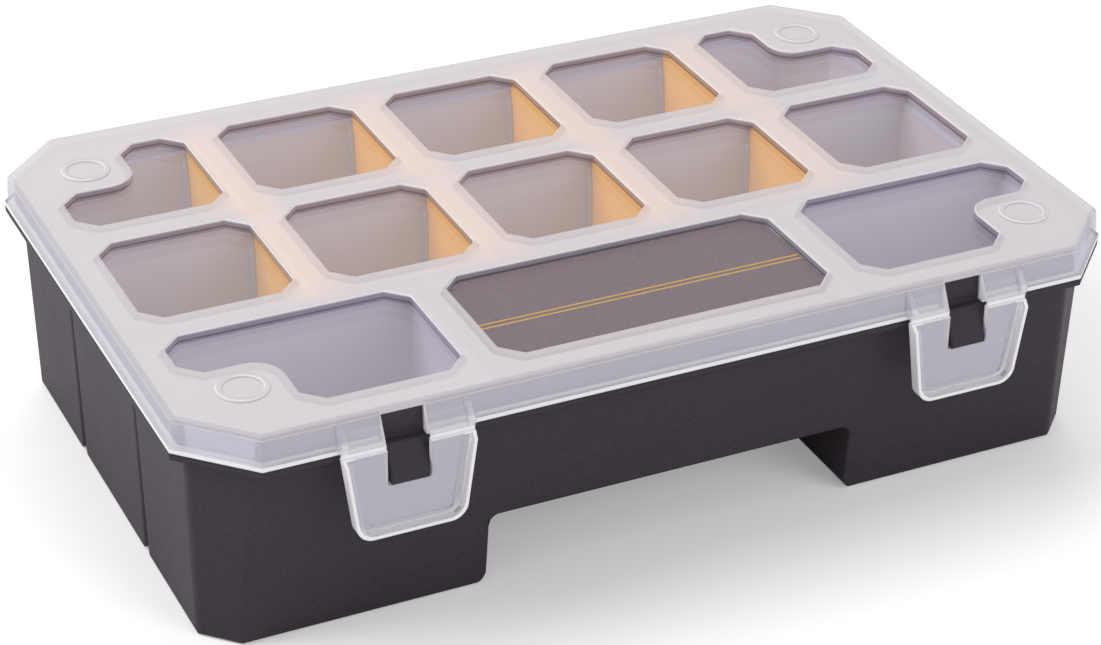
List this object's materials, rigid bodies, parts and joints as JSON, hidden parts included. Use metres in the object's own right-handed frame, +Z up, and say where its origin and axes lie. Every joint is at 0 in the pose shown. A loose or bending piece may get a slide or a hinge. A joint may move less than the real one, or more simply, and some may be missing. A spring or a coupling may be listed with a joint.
{
  "type": "organizer box",
  "caption": "Flat hinged-lid organizer box: charcoal compartment tray, translucent gridded lid with clear panes, loose dividers and two front snap latches.",
  "frame": {"origin": "middle of the tray's underside, on the surface the box stands on", "axes": "+X along the front to the right, +Y from the front to the hinge, +Z up"},
  "size_m": [0.23, 0.1604, 0.0581],
  "materials": {
    "tray_plastic": "fine matt moulded grain",
    "lid_plastic": "translucent, frosted frame and clear panes",
    "latch_plastic": "translucent, satin",
    "divider_plastic": "satin",
    "card": "matt printed card, left bare"
  },
  "bodies": {
    "base": {"base_tray": "tray_plastic"},
    "lid": {"lid": "lid_plastic", "label": "card", "left_latch_web_left": "latch_plastic", "left_latch_web_right": "latch_plastic", "right_latch_web_left": "latch_plastic", "right_latch_web_right": "latch_plastic"},
    "left_latch": {"left_latch": "latch_plastic"},
    "right_latch": {"right_latch": "latch_plastic"},
    "divider_rear_1": {"divider_rear_1": "divider_plastic"},
    "divider_rear_2": {"divider_rear_2": "divider_plastic"},
    "divider_rear_3": {"divider_rear_3": "divider_plastic"},
    "divider_rear_4": {"divider_rear_4": "divider_plastic"},
    "divider_middle_1": {"divider_middle_1": "divider_plastic"},
    "divider_middle_2": {"divider_middle_2": "divider_plastic"},
    "divider_middle_3": {"divider_middle_3": "divider_plastic"},
    "divider_middle_4": {"divider_middle_4": "divider_plastic"}
  },
  "joints": [
    {"name": "lid_hinge", "type": "hinge", "parent": "base", "child": "lid", "pos_m": [0, 0.0785, 0.0486], "axis": [-1, 0, 0], "range_deg": [0, 110]},
    {"name": "left_latch_hinge", "type": "hinge", "parent": "lid", "child": "left_latch", "pos_m": [-0.0684, -0.07685, 0.0497], "axis": [-1, 0, 0], "range_deg": [0, 90], "deforming": ["left_latch_web_left", "left_latch_web_right"]},
    {"name": "right_latch_hinge", "type": "hinge", "parent": "lid", "child": "right_latch", "pos_m": [0.0684, -0.07685, 0.0497], "axis": [-1, 0, 0], "range_deg": [0, 90], "deforming": ["right_latch_web_left", "right_latch_web_right"]},
    {"name": "divider_rear_1_lift", "type": "slide", "parent": "base", "child": "divider_rear_1", "axis": [0, 0, 1], "range_m": [0, 0.0024]},
    {"name": "divider_rear_2_lift", "type": "slide", "parent": "base", "child": "divider_rear_2", "axis": [0, 0, 1], "range_m": [0, 0.0024]},
    {"name": "divider_rear_3_lift", "type": "slide", "parent": "base", "child": "divider_rear_3", "axis": [0, 0, 1], "range_m": [0, 0.0024]},
    {"name": "divider_rear_4_lift", "type": "slide", "parent": "base", "child": "divider_rear_4", "axis": [0, 0, 1], "range_m": [0, 0.0024]},
    {"name": "divider_middle_1_lift", "type": "slide", "parent": "base", "child": "divider_middle_1", "axis": [0, 0, 1], "range_m": [0, 0.0024]},
    {"name": "divider_middle_2_lift", "type": "slide", "parent": "base", "child": "divider_middle_2", "axis": [0, 0, 1], "range_m": [0, 0.0024]},
    {"name": "divider_middle_3_lift", "type": "slide", "parent": "base", "child": "divider_middle_3", "axis": [0, 0, 1], "range_m": [0, 0.0024]},
    {"name": "divider_middle_4_lift", "type": "slide", "parent": "base", "child": "divider_middle_4", "axis": [0, 0, 1], "range_m": [0, 0.0024]}
  ]
}
